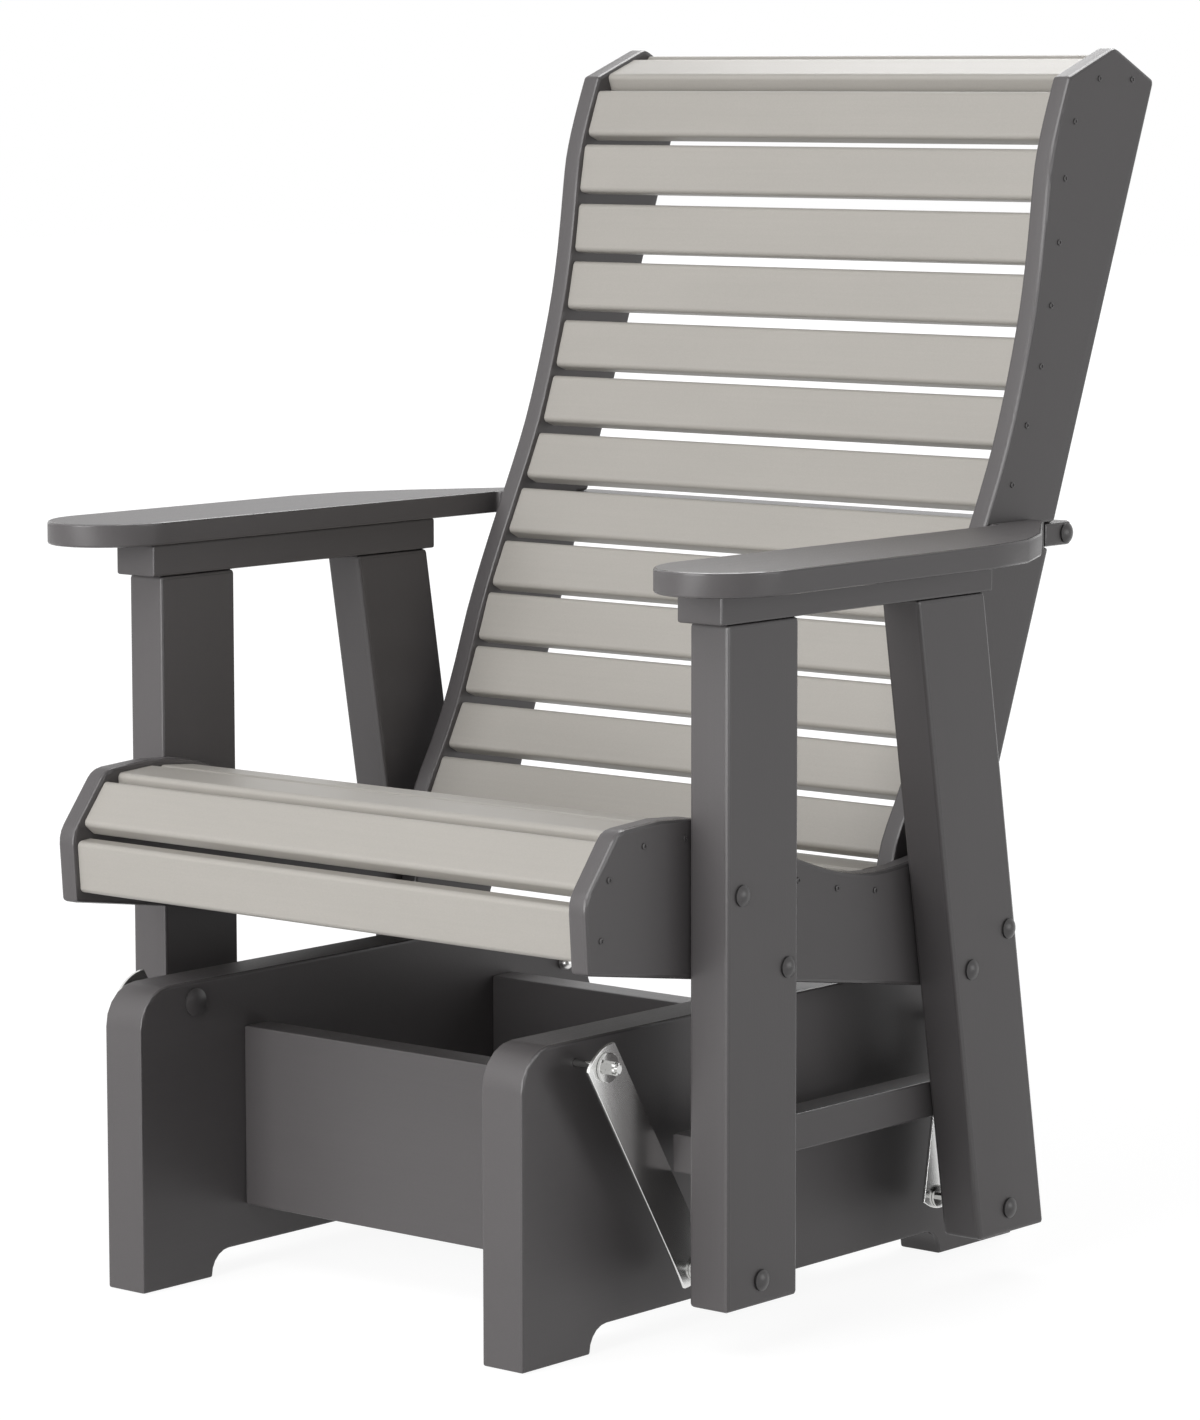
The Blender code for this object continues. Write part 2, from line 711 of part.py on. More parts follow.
front_knots = [back_point(back_length * height, back_depth * depth)
               for height, depth in zip(back_height_shares, back_depth_shares)]
back_front_edge = smooth_curve(front_knots + [back_crest], back_curve_steps)
crest = filleted((
    (*back_front_edge[-2], 0),
    (*back_crest, back_crest_radius),
    (*back_peak, back_peak_radius),
    (*back_top_rear, back_crest_radius),
    (*back_foot, 0),
))[1:-1]
back_heel = filleted((
    (*back_top_rear, 0),
    (*back_foot, back_foot_radius),
    (*back_toe, back_foot_radius),
    (*front_knots[0], 0),
))[1:-1]
notch_front = back_bar_rear - back_bar_depth - face_gap
notch_top = back_bar_bottom + back_bar_height + face_gap
notch_bottom = back_bar_bottom - face_gap
notch = [
    (back_foot[0] + (notch_top - back_foot[1]) * tan(back_lean), notch_top),
    (notch_front, notch_top),
    (notch_front, notch_bottom),
    (back_foot[0] + (notch_bottom - back_foot[1]) * tan(back_lean), notch_bottom),
]
back_outline = crest + notch + back_heel + back_front_edge[:-1]
for side, sign in sides:
    board = gliding_piece(f"back_board_{side}", extruded(back_outline, "x", sign * back_board_inner,
                                                         sign * back_board_outer), dark_lumber)
    ease_edges(board, side_board_edge)
    nut = acorn_profile(back_board_inner, board_nut_radius, board_nut_collar, -1, side_board_edge)
    join_rounds(board, f"back_board_{side}_nut", mirrored_profile(nut, sign), rear_leg_bolts)

bar_outline = box_outline((back_bar_rear - back_bar_depth, back_bar_bottom),
                          (back_bar_rear, back_bar_bottom + back_bar_height))
back_bar = gliding_piece("back_bar", extruded(bar_outline, "x", -back_board_outer, back_board_outer),
                         dark_lumber)
ease_edges(back_bar, side_board_edge)
bar_bolt = (back_bar_rear - back_bar_bolt_inset, back_bar_bottom + back_bar_height / 2)
for side, sign in sides:
    dome = dome_profile(back_board_outer, dome_radius, dome_height, 1, side_board_edge)
    join_rounds(back_bar, f"back_bar_bolt_{side}", mirrored_profile(dome, sign), [bar_bolt])


# Slats: one rounded section, set along the edges of the side boards

def slat_mesh(half_length):
    half_width = slat_width / 2
    section = filleted((
        (0, -half_width, slat_edge),
        (slat_thickness, -half_width, slat_edge),
        (slat_thickness, half_width, slat_edge),
        (0, half_width, slat_edge),
    ), slat_arc_step)
    mesh = extruded(section, "x", -half_length, half_length)
    mesh.shade_smooth()
    mesh.set_sharp_from_angle(angle=round_limit_angle)
    return mesh


def set_slat(name, mesh, edge_point, direction, recess=slat_recess):
    """A slat whose face lies just under an edge of the side boards, along the edge's direction."""
    place = Vector(edge_point) + Vector((direction.y, -direction.x)) * recess
    lean = atan2(-direction.x, direction.y)
    put(name, mesh, pale_lumber, seat_frame,
        (0, place.x + in_seat_frame[1], place.y + in_seat_frame[2]), lean)


back_slat = slat_mesh(back_board_inner - face_gap)
edge_from_crest = back_front_edge[::-1]
lowest_drop = length_to(edge_from_crest, 1, edge_from_crest[-1][1]) - back_low_slat_rise
drops = [back_top_slat_drop + back_slat_span * share for share in back_slat_shares]
fitting_drops = [drop for drop in drops if drop < lowest_drop]
for number, (place, direction) in enumerate(stations(edge_from_crest, fitting_drops), 1):
    set_slat(f"back_slat_{number:02d}", back_slat, place, -direction)

crest_slope = Vector(back_peak) - Vector(back_crest)
rear_slope = Vector(back_top_rear) - Vector(back_peak)
set_slat("cap_slat_front", back_slat, Vector(back_crest) + crest_slope * front_cap_share,
         crest_slope.normalized(), cap_slat_recess)
set_slat("cap_slat_rear", back_slat, Vector(back_peak) + rear_slope * rear_cap_share,
         rear_slope.normalized(), cap_slat_recess)

seat_slat = slat_mesh(seat_board_inner - face_gap)
front_edge = Vector(seat_board_front_bend) - Vector(seat_board_front_bottom)
nose_edge = Vector(seat_board_front_top) - Vector(seat_board_front_bend)
front_share = (front_slat_centre - seat_board_front_bottom[1]) / front_edge.y
seat_slats = [
    (Vector(seat_board_front_bottom) + front_edge * front_share, front_edge.normalized()),
    (Vector(seat_board_front_bend) + nose_edge * nose_slat_share, nose_edge.normalized()),
]
top_curve = [seat_board_front_top] + seat_edge
first_top = length_to(top_curve, 0, seat_first_top_slat)
last_top = length_to(top_curve, 0, seat_last_top_slat)
seat_slats += stations(top_curve, evenly(first_top, last_top, seat_top_slat_count))
for number, (place, direction) in enumerate(seat_slats, 1):
    set_slat(f"seat_slat_{number}", seat_slat, place, direction)
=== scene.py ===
import json
from math import atan2, cos, pi, radians, sin

import bpy
from mathutils import Matrix, Vector

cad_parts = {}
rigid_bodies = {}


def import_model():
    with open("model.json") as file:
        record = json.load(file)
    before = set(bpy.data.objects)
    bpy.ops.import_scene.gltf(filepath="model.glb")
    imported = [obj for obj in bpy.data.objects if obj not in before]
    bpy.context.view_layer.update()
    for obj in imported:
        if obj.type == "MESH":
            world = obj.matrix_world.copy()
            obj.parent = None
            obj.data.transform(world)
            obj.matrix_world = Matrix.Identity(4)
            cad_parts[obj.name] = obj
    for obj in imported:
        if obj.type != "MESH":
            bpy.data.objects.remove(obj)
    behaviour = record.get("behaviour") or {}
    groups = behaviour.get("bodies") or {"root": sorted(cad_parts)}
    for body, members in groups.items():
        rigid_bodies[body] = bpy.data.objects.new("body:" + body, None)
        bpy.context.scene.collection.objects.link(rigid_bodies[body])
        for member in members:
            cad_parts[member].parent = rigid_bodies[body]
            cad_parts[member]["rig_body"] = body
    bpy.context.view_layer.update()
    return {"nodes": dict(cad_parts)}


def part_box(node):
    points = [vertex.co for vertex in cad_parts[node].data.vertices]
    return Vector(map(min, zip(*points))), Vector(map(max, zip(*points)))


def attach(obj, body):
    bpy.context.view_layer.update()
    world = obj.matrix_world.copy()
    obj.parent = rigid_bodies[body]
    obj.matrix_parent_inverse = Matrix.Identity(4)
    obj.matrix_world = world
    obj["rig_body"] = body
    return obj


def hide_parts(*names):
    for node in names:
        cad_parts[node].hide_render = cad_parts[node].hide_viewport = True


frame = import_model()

# Places are given from the front edge of the base, as in the part's own sizes
base_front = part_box("base_panel_right")[0].y
sides = (("right", 1), ("left", -1))
merge_distance = 0.00002

# The part's own faces that carry fasteners, as distances from the chair's middle
leg_outer = 0.3260
seat_board_outer = 0.2872
seat_board_inner = 0.2692
back_board_outer = 0.2689
back_board_inner = 0.2509
panel_inner = 0.1865
front_link_outer = 0.2595
rear_link_outer = 0.2525
face_gap = 0.0003

# Where the fasteners sit: (distance behind the base's front edge, height)
front_upper_pivot = (0.0636, 0.2364)
rear_upper_pivot = (0.5320, 0.2077)
front_lower_pivot = (0.1735, 0.0583)
rear_lower_pivot = (0.5065, 0.0599)
front_leg_bolts = ((0.1488, 0.3672), (0.2063, 0.3037))
rear_leg_bolts = ((0.5018, 0.2967), (0.4508, 0.2687))
bar_bolt = (0.6608, 0.61145)
rear_seat_slat = (0.4205, 0.3417)
seat_screws = ((0.0248, 0.3432), (0.0343, 0.3892), (0.0762, 0.4107), (0.1260, 0.4112),
               (0.1733, 0.3985), (0.2206, 0.3805), (0.2686, 0.3611), (0.3197, 0.3485),
               (0.3703, 0.3407))
back_screws = ((0.7041, 0.9955), (0.7527, 0.9946), (0.6686, 0.9596), (0.6548, 0.9119),
               (0.6469, 0.8583), (0.6361, 0.8056), (0.6224, 0.7548), (0.6021, 0.7061),
               (0.5820, 0.6572), (0.5575, 0.6075), (0.5345, 0.5617), (0.5140, 0.5165),
               (0.4965, 0.4698), (0.4752, 0.4210), (0.4485, 0.3751))

# Sizes of the slats' section and of the fasteners. A profile is (distance, radius) from end to
# end; a head is (radius, height), the slotted nut (radius to its flats, height), and the cap nut
# (radius, height of its wall, rise of its dome).
slat_thickness = 0.0186
slat_width = 0.0437
slat_edge = 0.0045
slat_edge_steps = 6
carriage_head = (0.0085, 0.0047)
pivot_head = (0.0118, 0.0036)
head_skirt = 0.0015
head_rings = 8
head_sides = 48
screw_profile = ((0, 0.0026), (0.0008, 0.0026), (0.0011, 0.0021), (0.0011, 0.0013),
                 (0.0005, 0.0011))
screw_sides = 18
washer_profile = ((0, 0.0114), (0.0004, 0.0118), (0.0026, 0.0118), (0.0030, 0.0114))
washer_thickness = 0.0030
castle_nut = (0.0046, 0.0086)
castle_slot_width = 0.0021
castle_slot_depth = 0.0034
castle_slot_step = 0.0001
cap_nut = (0.0060, 0.0040, 0.0058)
castle_turn = radians(12)
nut_sides = 6
nut_chamfer = 0.0005
pin_wire = 0.00055

# Faces that meet at less than this angle are shaded as one round surface
board_round = radians(38)
slat_round = radians(50)
fastener_round = radians(32)
castle_round = radians(20)
pin_round = radians(60)

# A board's rounded edges are the faces whose normal, of length 1, points between these two
# lengths out of its flat sides
least_edge_lean = 0.2
most_edge_lean = 0.97


def at(x, y, z):
    """A place from the chair's middle, the base's front edge and the floor."""
    return Vector((x, base_front + y, z))


# Camera: the photo's own viewpoint, focal length and slight roll

camera_turn = radians(40.193)
camera_tilt = radians(7.014)
camera_roll = radians(-0.081)
camera_place = (2.82476, -3.37228, 1.00463)
camera_focus = 5218.7
photo_height = 1420
sensor_height = 36.0
half_pixel = 0.5 / photo_height


def add_camera():
    back = Vector((sin(camera_turn) * cos(camera_tilt), -cos(camera_turn) * cos(camera_tilt),
                   sin(camera_tilt)))
    level = Vector((cos(camera_turn), sin(camera_turn), 0))
    upright = back.cross(level)
    right = level * cos(camera_roll) + upright * sin(camera_roll)
    up = upright * cos(camera_roll) - level * sin(camera_roll)
    view = Matrix((right, up, back)).transposed().to_4x4()
    view.translation = camera_place
    lens = bpy.data.cameras.new("camera")
    lens.sensor_fit = "VERTICAL"
    lens.sensor_height = sensor_height
    lens.lens = camera_focus / photo_height * sensor_height
    lens.shift_x = -half_pixel
    lens.shift_y = half_pixel
    camera = bpy.data.objects.new("camera", lens)
    camera.matrix_world = view
    bpy.context.collection.objects.link(camera)
    bpy.context.scene.camera = camera


# Node materials: sockets with arithmetic, and one method that adds any other node

class Wire:
    """An output socket, on which Python arithmetic adds Math nodes."""

    def __init__(self, web, socket):
        self.web = web
        self.socket = socket

    def math(self, operation, *values):
        return self.web.node("ShaderNodeMath", {"operation": operation}, dict(enumerate(values)))

    def __add__(self, other):
        return self.math("ADD", self, other)

    def __sub__(self, other):
        return self.math("SUBTRACT", self, other)

    def __rsub__(self, other):
        return self.math("SUBTRACT", other, self)

    def __mul__(self, other):
        return self.math("MULTIPLY", self, other)

    __radd__ = __add__
    __rmul__ = __mul__


class Web:
    """A node tree of a material or of the world."""

    def __init__(self, tree):
        self.tree = tree

    def node(self, kind, settings=None, inputs=None, output=0):
        """Adds a node: first its settings, then the values or links of its sockets."""
        made = self.tree.nodes.new(kind)
        for name, value in (settings or {}).items():
            setattr(made, name, value)
        for name, value in (inputs or {}).items():
            self.set(made.inputs[name], value)
        return Wire(self, made.outputs[output])

    def set(self, socket, value):
        if isinstance(value, Wire):
            self.tree.links.new(value.socket, socket)
        else:
            socket.default_value = value

    def seen(self):
        """1 where the camera, a reflection or clear glass looks, and 0 for all other light."""
        most, *others = [self.node("ShaderNodeLightPath", output=f"Is {kind} Ray")
                         for kind in ("Camera", "Glossy", "Transmission")]
        for other in others:
            most = most.math("MAXIMUM", most, other)
        return most


class Finish(Web):
    """A material in the making, with its Principled shader."""

    def __init__(self, name, **fixed):
        self.material = bpy.data.materials.new(name)
        self.material.use_nodes = True
        super().__init__(self.material.node_tree)
        self.shader = self.tree.nodes["Principled BSDF"]
        for label, value in fixed.items():
            self.shader.inputs[label.replace("_", " ")].default_value = value

    def feed(self, label, value):
        self.set(self.shader.inputs[label], value)

    def place(self, turn, cell):
        """Object coordinates turned with a board and counted in cells of a size in metres."""
        here = self.node("ShaderNodeTexCoord", output="Object")
        return self.node("ShaderNodeMapping", {"vector_type": "TEXTURE"},
                         {"Vector": here, "Rotation": turn, "Scale": cell})

    def noise(self, turn, cell, detail):
        return self.node("ShaderNodeTexNoise", {},
                         {"Vector": self.place(turn, cell), "Scale": 1, "Detail": detail})

    def tint(self, colour, strength):
        """A colour times a number that varies over the surface."""
        return self.node("ShaderNodeVectorMath", {"operation": "SCALE"},
                         {"Vector": colour, "Scale": strength})

    def relief(self, height, depth, strength):
        bump = self.node("ShaderNodeBump", {},
                         {"Height": height, "Distance": depth, "Strength": strength})
        self.feed("Normal", bump)


def lumber(name, colour, roughness, turn):
    """Extruded plastic lumber: a fine pebble, faint lines along the board, slow mottling, and
    rounded edges that are a little smoother from wear and paler as a painted highlight."""
    made = Finish(name, Specular_IOR_Level=0.45)
    pebble = made.noise(turn, (0.0013, 0.0013, 0.0019), 2)
    lines = made.noise(turn, (0.0030, 0.0030, 0.1600), 3)
    mottle = made.noise(turn, (0.0600, 0.0600, 0.1800), 2)
    speckle = made.noise(turn, (0.0006, 0.0006, 0.0008), 1)
    wear_and_highlight = made.node("ShaderNodeAttribute", {"attribute_name": "worn_and_highlit_edge"}, output="Fac")
    # Painted highlight: the rounded edges' colour is lifted, while their lower roughness stands
    # for wear
    shade = pebble * 0.10 + lines * 0.06 + mottle * 0.10 + speckle * 0.10 + wear_and_highlight * 0.10 + 0.82
    made.feed("Base Color", made.tint(colour, shade))
    made.feed("Roughness", pebble * 0.16 + lines * 0.06 + (roughness - 0.11) - wear_and_highlight * 0.22)
    made.relief(pebble * 0.7 + lines * 0.3, 0.0004, 0.28)
    return made.material


def steel(name, colour, roughness, turn):
    """Stainless steel with fine brush lines and a few cloudy patches."""
    made = Finish(name, Metallic=1.0)
    brushed = made.noise(turn, (0.0005, 0.0005, 0.0300), 2)
    cloud = made.noise(turn, (0.0120, 0.0120, 0.0300), 2)
    made.feed("Base Color", made.tint(colour, brushed * 0.08 + cloud * 0.08 + 0.92))
    made.feed("Roughness", brushed * 0.05 + cloud * 0.05 + (roughness - 0.05))
    made.relief(brushed, 0.00003, 0.15)
    return made.material


def paint(name, colour, rim):
    """Hard satin paint on a bolt head, slightly uneven, with its upright rim duller and darkened
    by painted shade.
    """
    made = Finish(name, Specular_IOR_Level=0.5)
    skin = made.noise((0, 0, 0), (0.0016, 0.0016, 0.0016), 2)
    normal = made.node("ShaderNodeTexCoord", output="Normal")
    outward = made.node("ShaderNodeSeparateXYZ", {}, {0: normal}, "X")
    # Painted shade: the colour falls to a share of itself on the upright rim, as if in the head's
    # contact shadow; the rim is also made rougher
    crown = made.node("ShaderNodeMapRange", {},
                      {"Value": outward.math("ABSOLUTE", outward), "From Min": 0.15,
                       "From Max": 0.60, "To Min": rim})
    made.feed("Base Color", made.tint(colour, (skin * 0.16 + 0.92) * crown))
    made.feed("Roughness", skin * 0.14 + 0.62 - crown * 0.37)
    made.relief(skin, 0.0002, 0.15)
    return made.material


dark_colour = (0.0925, 0.0865, 0.0880)
pale_colour = (0.400, 0.380, 0.350)
bright_colour = (0.80, 0.80, 0.79)
rear_leg_lean = radians(9.55)
back_lean = radians(20.94)
link_leans = {"front": radians(31.68), "rear": radians(-9.79)}
board_turns = {
    "upright": (0, 0, 0),
    "lengthwise": (pi / 2, 0, 0),
    "crosswise": (0, pi / 2, 0),
    "rear_leg": (rear_leg_lean, 0, 0),
    "back": (-back_lean, 0, 0),
}
dark = {way: lumber(f"dark_lumber_{way}", dark_colour, 0.45, turn)
        for way, turn in board_turns.items()}
pale = lumber("pale_lumber", pale_colour, 0.44, board_turns["crosswise"])
link_steel = {end: steel(f"link_steel_{end}", bright_colour, 0.22, (lean, 0, 0))
              for end, lean in link_leans.items()}
hardware_steel = steel("hardware_steel", (0.62, 0.62, 0.61), 0.09, board_turns["crosswise"])
cap_nut_steel = steel("cap_nut_steel", bright_colour, 0.38, board_turns["crosswise"])
pin_steel = steel("pin_steel", (0.24, 0.24, 0.235), 0.30, board_turns["upright"])
# The last number is how far the painted shade darkens each head's upright rim, as a share of its
# colour
head_paint = paint("head_paint", (0.066, 0.062, 0.063), 0.12)
dull_paint = paint("dull_paint", (0.080, 0.075, 0.076), 0.50)

# How each kind of board runs, by the start of its node's name
board_ways = (
    ("base_panel", "lengthwise"), ("base_front", "crosswise"), ("base_rear", "crosswise"),
    ("front_leg", "upright"), ("rear_leg", "rear_leg"), ("arm_rail", "lengthwise"),
    ("arm_", "lengthwise"), ("stretcher", "lengthwise"), ("seat_board", "lengthwise"),
    ("back_board", "back"), ("back_bar", "crosswise"),
)


# Making and placing pieces

def begin():
    bpy.ops.object.select_all(action="DESELECT")


def to_edit():
    bpy.ops.object.mode_set(mode="EDIT")
    bpy.ops.mesh.select_all(action="SELECT")


def to_object():
    bpy.ops.object.mode_set(mode="OBJECT")


def apply_modifier(piece, kind, **settings):
    change = piece.modifiers.new(kind.lower(), kind)
    for name, value in settings.items():
        setattr(change, name, value)
    bpy.ops.object.modifier_apply(modifier=change.name)


def dress(piece, name, material, slot, body, *nodes):
    """Settles a finished piece: its place in its mesh, its name, material, body and nodes."""
    bpy.ops.object.transform_apply(location=True, rotation=True, scale=True)
    piece.name = name
    piece.data.name = name
    piece.data.materials.clear()
    piece.data.materials.append(material)
    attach(piece, body)
    if nodes:
        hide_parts(*nodes)
    return piece


def ease_shading(piece, angle):
    """Smooth shading over rounded edges, with the flats kept flat."""
    bpy.ops.object.shade_smooth_by_angle(angle=angle)
    apply_modifier(piece, "WEIGHTED_NORMAL", keep_sharp=True)


def close_up(piece):
    """Outward faces on a closed mesh."""
    to_edit()
    bpy.ops.mesh.remove_doubles(threshold=merge_distance)
    bpy.ops.mesh.normals_make_consistent(inside=False)
    to_object()


def mark_edges(piece, axis):
    """Marks a board's rounded edges, whose faces lean away from its flat sides."""
    wear_and_highlight = piece.data.attributes.new("worn_and_highlit_edge", "FLOAT", "FACE")
    for face, mark in zip(piece.data.polygons, wear_and_highlight.data):
        mark.value = float(least_edge_lean < abs(face.normal[axis]) < most_edge_lean)


def eased_copy(node, name, material, slot):
    """A CAD node's own shape with its facets merged and its rounded edges shaded smooth."""
    cad = frame["nodes"][node]
    body = cad["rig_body"]
    begin()
    cad.select_set(True)
    bpy.context.view_layer.objects.active = cad
    bpy.ops.object.duplicate()
    piece = bpy.context.object
    piece.parent = None
    for key in list(piece.keys()):
        del piece[key]
    bpy.ops.mesh.customdata_custom_splitnormals_clear()
    to_edit()
    bpy.ops.mesh.remove_doubles(threshold=merge_distance)
    to_object()
    ease_shading(piece, board_round)
    return dress(piece, name, material, slot, body, node)


def turned(profile, sides_count=head_sides):
    """A round model along x: a disc extruded and resized along its profile."""
    begin()
    start, radius = profile[0]
    bpy.ops.mesh.primitive_circle_add(vertices=sides_count, radius=radius, fill_type="NGON",
                                      location=(start, 0, 0), rotation=(0, pi / 2, 0))
    model = bpy.context.object
    bpy.ops.object.transform_apply(location=True, rotation=True, scale=True)
    to_edit()
    for (near, wide), (far, narrow) in zip(profile, profile[1:]):
        bpy.ops.mesh.extrude_region_move(TRANSFORM_OT_translate={"value": (far - near, 0, 0)})
        if narrow == 0:
            bpy.ops.mesh.merge(type="CENTER")
        elif narrow != wide:
            share = narrow / wide
            bpy.ops.transform.resize(value=(1, share, share), center_override=(far, 0, 0))
    to_object()
    close_up(model)
    return model


def dome_profile(radius, height, skirt):
    """A low dome on a short upright skirt, from its rim to its crown."""
    rise = height - skirt
    ball = (radius ** 2 + rise ** 2) / (2 * rise)
    span = atan2(radius, ball - rise)
    profile = [(0, radius), (skirt, radius)]
    for ring in range(1, head_rings):
        angle = span * (1 - ring / head_rings)
        profile.append((height - ball * (1 - cos(angle)), ball * sin(angle)))
    return profile + [(height, 0)]


def cut_with(model, tool, operation):
    """A model cut by a tool, or kept only inside it; the tool is then deleted."""
    begin()
    model.select_set(True)
    bpy.context.view_layer.objects.active = model
    apply_modifier(model, "BOOLEAN", operation=operation, solver="EXACT", object=tool)
    begin()
    tool.select_set(True)
    bpy.ops.object.delete()


def six_sided(flats_radius, height):
    """A six-sided nut along x, with a corner to the front and both ends' corners taken off."""
    corners_radius = flats_radius / cos(pi / nut_sides)
    nut = turned(((0, corners_radius), (height, corners_radius)), nut_sides)
    rim = flats_radius + nut_chamfer / 2
    belly = corners_radius + nut_chamfer
    bound = turned(((0, rim), (nut_chamfer, belly), (height - nut_chamfer, belly), (height, rim)))
    cut_with(nut, bound, "INTERSECT")
    return nut


def slotted_nut(flats_radius, height):
    """A six-sided nut with a slot across each pair of flats of its outer end, each slot a little
    deeper than the one before, so that no two floors lie in one plane."""
    nut = six_sided(flats_radius, height)
    for turn in range(nut_sides // 2):
        depth = castle_slot_depth * 2 + turn * castle_slot_step
        begin()
        bpy.ops.mesh.primitive_cube_add(size=1, location=(height, 0, 0),
                                        rotation=(turn * 2 * pi / nut_sides, 0, 0),
                                        scale=(depth, castle_slot_width, flats_radius * 4))
        cut_with(nut, bpy.context.object, "DIFFERENCE")
    begin()
    nut.select_set(True)
    bpy.context.view_layer.objects.active = nut
    close_up(nut)
    return nut


def round_nut(radius, height, rise):
    """A plain round nut with a domed end."""
    profile = [(0, radius - nut_chamfer), (nut_chamfer, radius), (height, radius)]
    for ring in range(1, head_rings):
        angle = pi / 2 * ring / head_rings
        profile.append((height + rise * sin(angle), radius * cos(angle)))
    return turned(profile + [(height + rise, 0)])


def split_pin(half_length):
    """A bent wire with an eye above and two legs spread below, standing along z."""
    begin()
    bpy.ops.curve.primitive_nurbs_path_add()
    pin = bpy.context.object
    line = pin.data
    line.splines.clear()
    leg = pin_wire * 1.05
    eye = pin_wire * 2.4
    bend = half_length * 0.7
    route = [(-leg * 3.4, -half_length * 1.12), (-leg * 1.4, -half_length * 0.93),
             (-leg, -bend), (-leg, bend), (-eye, bend + eye), (-eye * 0.6, bend + eye * 2),
             (eye * 0.6, bend + eye * 2), (eye, bend + eye), (leg, bend), (leg, -bend),
             (leg * 1.4, -half_length * 0.86), (leg * 3.4, -half_length * 0.98)]
    wire = line.splines.new("NURBS")
    wire.points.add(len(route) - 1)
    for point, (y, z) in zip(wire.points, route):
        point.co = (0, y, z, 1)
    wire.use_endpoint_u = True
    wire.order_u = 3
    wire.resolution_u = 6
    line.dimensions = "3D"
    line.bevel_depth = pin_wire
    line.bevel_resolution = 3
    line.use_fill_caps = True
    bpy.ops.object.convert(target="MESH")
    model = bpy.context.object
    close_up(model)
    return model


def slat_model(half_length):
    """A slat along x: a block whose four long edges are rounded."""
    begin()
    bpy.ops.mesh.primitive_cube_add(size=1, scale=(half_length * 2, slat_thickness, slat_width))
    model = bpy.context.object
    bpy.ops.object.transform_apply(location=True, rotation=True, scale=True)
    to_edit()
    bpy.ops.mesh.select_mode(type="EDGE")
    bpy.ops.mesh.select_all(action="DESELECT")
    to_object()
    for edge in model.data.edges:
        start, end = (model.data.vertices[number].co for number in edge.vertices)
        edge.select = abs(start.x - end.x) > half_length
    bpy.ops.object.mode_set(mode="EDIT")
    bpy.ops.mesh.bevel(offset=slat_edge, segments=slat_edge_steps, affect="EDGES")
    bpy.ops.mesh.select_mode(type="VERT")
    to_object()
    return model


def smooth_model(model, angle=fastener_round):
    begin()
    model.select_set(True)
    bpy.context.view_layer.objects.active = model
    ease_shading(model, angle)
    return model


def set_copy(model, name, place, heading, lean, material, slot, body, *nodes):
    """A copy of a model at its place; heading 1 points it to +x and -1 to -x."""
    begin()
    model.select_set(True)
    bpy.context.view_layer.objects.active = model
    bpy.ops.object.duplicate()
    piece = bpy.context.object
    piece.location = place
    piece.rotation_euler = (lean, 0, pi if heading < 0 else 0)
    return dress(piece, name, material, slot, body, *nodes)


# Boards, links and bolts: the CAD model's own shapes, with their rounded edges shaded smooth

for node in sorted(frame["nodes"]):
    for beginning, way in board_ways:
        if node.startswith(beginning):
            board = eased_copy(node, f"{node}_board", dark[way], "dark_lumber")
            mark_edges(board, 2 if node.startswith(("arm_left", "arm_right")) else 0)
            break
    if "_link_" in node:
        eased_copy(node, f"{node}_bar", link_steel[node.split("_")[0]], "steel")
    if "_bolt_" in node:
        eased_copy(node, f"{node}_shank", hardware_steel, "steel")


# Slats, each where its CAD node is and at that node's lean

def slat_lean(node):
    """The lean of a slat, from the direction of its largest face."""
    widest = max(frame["nodes"][node].data.polygons, key=lambda polygon: polygon.area)
    return atan2(widest.normal.z, widest.normal.y)


models = []
for starts, half_length in ((("seat_slat",), seat_board_inner - face_gap),
                            (("back_slat", "cap_slat"), back_board_inner - face_gap)):
    model = smooth_model(slat_model(half_length), slat_round)
    models.append(model)
    for node in sorted(name for name in frame["nodes"] if name.startswith(starts)):
        low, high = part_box(node)
        set_copy(model, f"{node}_board", (low + high) / 2, 1, slat_lean(node),
                 pale, "pale_lumber", "seat", node)

# The rearmost seat slat, which stands between the back boards under the lowest back slat
set_copy(models[-1], "seat_slat_rear_board", at(0, *rear_seat_slat), 1, pi / 2,
         pale, "pale_lumber", "seat")


# Heads, nuts, washers and screws

small_head = smooth_model(turned(dome_profile(*carriage_head, head_skirt)))
large_head = smooth_model(turned(dome_profile(*pivot_head, head_skirt)))
screw = smooth_model(turned(screw_profile, screw_sides))
washer = smooth_model(turned(washer_profile))
castle = smooth_model(slotted_nut(*castle_nut), castle_round)
domed_nut = smooth_model(round_nut(*cap_nut))
pin = smooth_model(split_pin(castle_nut[0]), pin_round)
models += [small_head, large_head, screw, washer, castle, domed_nut, pin]


def set_row(model, name, x, heading, places, material, slot, body):
    """The same fastener at several places of one upright face, which stands at x."""
    for number, (y, z) in enumerate(places, 1):
        set_copy(model, f"{name}_{number}", at(x, y, z), heading, 0, material, slot, body)


head_finish = (head_paint, "dark_lumber")
dull_finish = (dull_paint, "dark_lumber")
bright_finish = (hardware_steel, "steel")
satin_finish = (cap_nut_steel, "steel")
washer_inner = front_link_outer + face_gap
nut_start = washer_inner + washer_thickness
pin_place = nut_start + castle_nut[1] - castle_slot_depth / 2

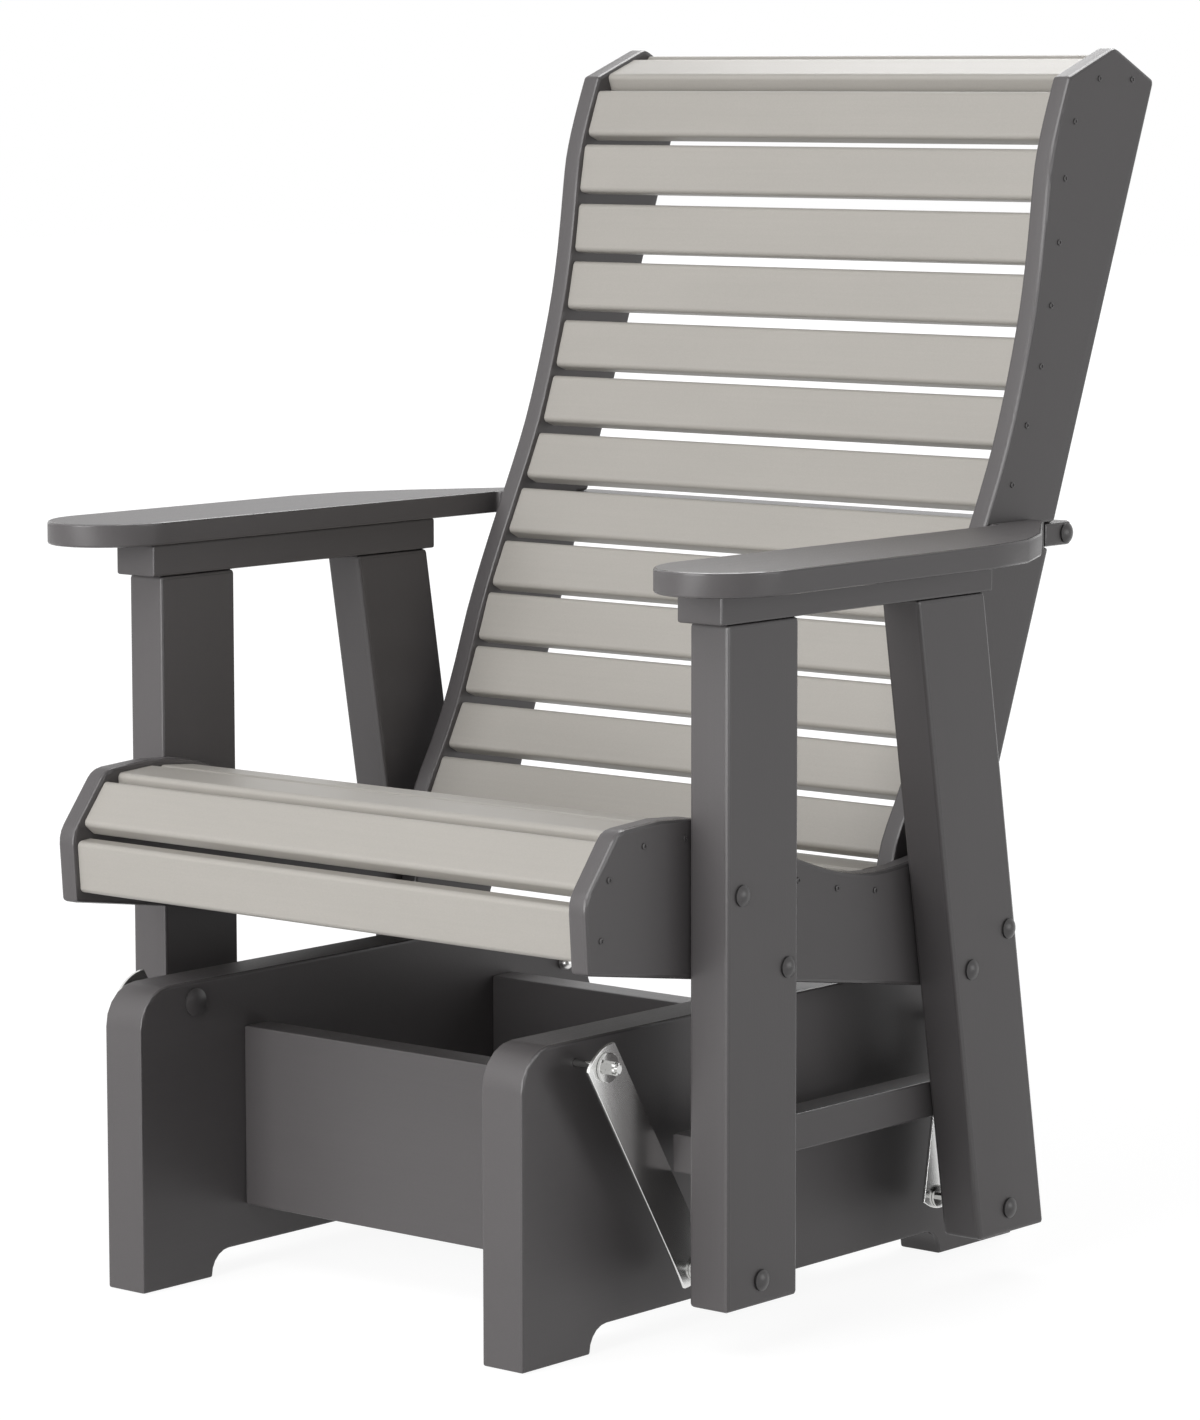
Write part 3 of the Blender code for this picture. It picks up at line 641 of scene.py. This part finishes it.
for side, sign in sides:
    set_row(small_head, f"front_leg_head_{side}", sign * leg_outer, sign, front_leg_bolts,
            *head_finish, "seat")
    set_row(small_head, f"rear_leg_head_{side}", sign * leg_outer, sign, rear_leg_bolts,
            *head_finish, "seat")
    set_row(small_head, f"lower_pivot_head_{side}", sign * (leg_outer + face_gap), sign,
            (front_lower_pivot, rear_lower_pivot), *head_finish, "seat")
    set_row(small_head, f"bar_head_{side}", sign * back_board_outer, sign, (bar_bolt,),
            *head_finish, "seat")
    set_row(large_head, f"front_pivot_head_{side}", sign * (panel_inner - face_gap), -sign,
            (front_upper_pivot,), *dull_finish, "base")
    set_row(large_head, f"rear_pivot_head_{side}", sign * (rear_link_outer + face_gap), sign,
            (rear_upper_pivot,), *head_finish, "base")
    set_row(domed_nut, f"seat_board_nut_{side}", sign * seat_board_inner, -sign, front_leg_bolts,
            *satin_finish, "seat")
    set_row(domed_nut, f"back_board_nut_{side}", sign * back_board_inner, -sign, rear_leg_bolts,
            *satin_finish, "seat")
    set_row(screw, f"seat_screw_{side}", sign * seat_board_outer, sign, seat_screws,
            *dull_finish, "seat")
    set_row(screw, f"back_screw_{side}", sign * back_board_outer, sign, back_screws,
            *dull_finish, "seat")
    node = f"front_upper_nut_{side}"
    set_copy(washer, f"{node}_washer", at(sign * washer_inner, *front_upper_pivot), sign, 0,
             *bright_finish, "base", node)
    set_copy(castle, f"{node}_castle", at(sign * nut_start, *front_upper_pivot), sign,
             castle_turn, *bright_finish, "base", node)
    set_copy(pin, f"{node}_pin", at(sign * pin_place, *front_upper_pivot), sign, castle_turn,
             pin_steel, "steel", "base", node)
    node = f"rear_upper_nut_{side}"
    set_copy(domed_nut, f"{node}_domed", at(sign * (panel_inner - face_gap), *rear_upper_pivot),
             -sign, 0, *satin_finish, "base", node)

# The models themselves are no pieces of the chair
begin()
for model in models:
    model.select_set(True)
bpy.ops.object.delete()


# Floor, backdrop and light

white = (1, 1, 1, 1)
floor_size = 40
floor_drop = 0.0005
shadow_fades_from = 0.9
shadow_fades_to = 2.4
surround_strength = 0.06
chair_middle = (0, 0, 0.5)
softbox = (2.4, 2.0)
side_softbox = (2.0, 1.4)


def white_stage(name):
    """White to the camera and in reflections, with a soft trace of the object's shadow near it."""
    made = Finish(name)
    seen = made.seen()
    here = made.node("ShaderNodeTexCoord", output="Object")
    reach = made.node("ShaderNodeVectorMath", {"operation": "LENGTH"}, {"Vector": here}, "Value")
    far = made.node("ShaderNodeMapRange", {"interpolation_type": "SMOOTHSTEP"},
                    {"Value": reach, "From Min": shadow_fades_from, "From Max": shadow_fades_to})
    grey = seen * 0.3 + 0.6
    matt_colour = made.node("ShaderNodeCombineColor", {},
                            {"Red": grey, "Green": grey, "Blue": grey})
    matt = made.node("ShaderNodeBsdfDiffuse", {}, {"Color": matt_colour})
    glow = made.node("ShaderNodeEmission", {}, {"Color": white, "Strength": 1.12})
    share = seen * (far * 0.18 + 0.82)
    mixed = made.node("ShaderNodeMixShader", {}, {0: share, 1: matt, 2: glow})
    made.set(made.tree.nodes["Material Output"].inputs["Surface"], mixed)
    made.tree.nodes.remove(made.shader)
    return made.material


def add_floor():
    begin()
    bpy.ops.mesh.primitive_plane_add(size=floor_size, location=(0, 0, -floor_drop))
    floor = bpy.context.object
    floor.name = "floor"
    floor.data.materials.append(white_stage("floor_white"))


def add_world():
    """A plain pale surround, pure white to the camera and in reflections."""
    world = bpy.data.worlds.new("surround")
    bpy.context.scene.world = world
    world.use_nodes = True
    web = Web(world.node_tree)
    soft = web.node("ShaderNodeBackground", {}, {"Color": white, "Strength": surround_strength})
    plain = web.node("ShaderNodeBackground", {}, {"Color": white, "Strength": 1})
    mixed = web.node("ShaderNodeMixShader", {}, {0: web.seen(), 1: soft, 2: plain})
    web.set(web.tree.nodes["World Output"].inputs["Surface"], mixed)
    web.tree.nodes.remove(web.tree.nodes["Background"])


def add_lamp(name, place, aim, size, power):
    """A soft lamp with straight sides, turned to what it lights."""
    lamp = bpy.data.lights.new(name, "AREA")
    lamp.shape = "RECTANGLE"
    lamp.size = size[0]
    lamp.size_y = size[1]
    lamp.energy = power
    holder = bpy.data.objects.new(name, lamp)
    bpy.context.collection.objects.link(holder)
    holder.location = place
    holder.rotation_euler = (Vector(aim) - Vector(place)).to_track_quat("-Z", "Y").to_euler()


add_camera()
add_world()
add_floor()
add_lamp("front_low_softbox", (0.0, -3.8, 1.0), chair_middle, softbox, 84)
add_lamp("front_high_softbox", (0.0, -2.6, 3.4), chair_middle, softbox, 68)
add_lamp("front_left_softbox", (-1.9, -3.2, 2.3), chair_middle, softbox, 18)
add_lamp("rear_top_softbox", (-0.85, 2.2, 2.9), chair_middle, softbox, 58)
add_lamp("right_softbox", (3.5, 1.1, 0.8), (0, 0, 0.45), side_softbox, 22)

bpy.context.scene.view_settings.view_transform = "Standard"
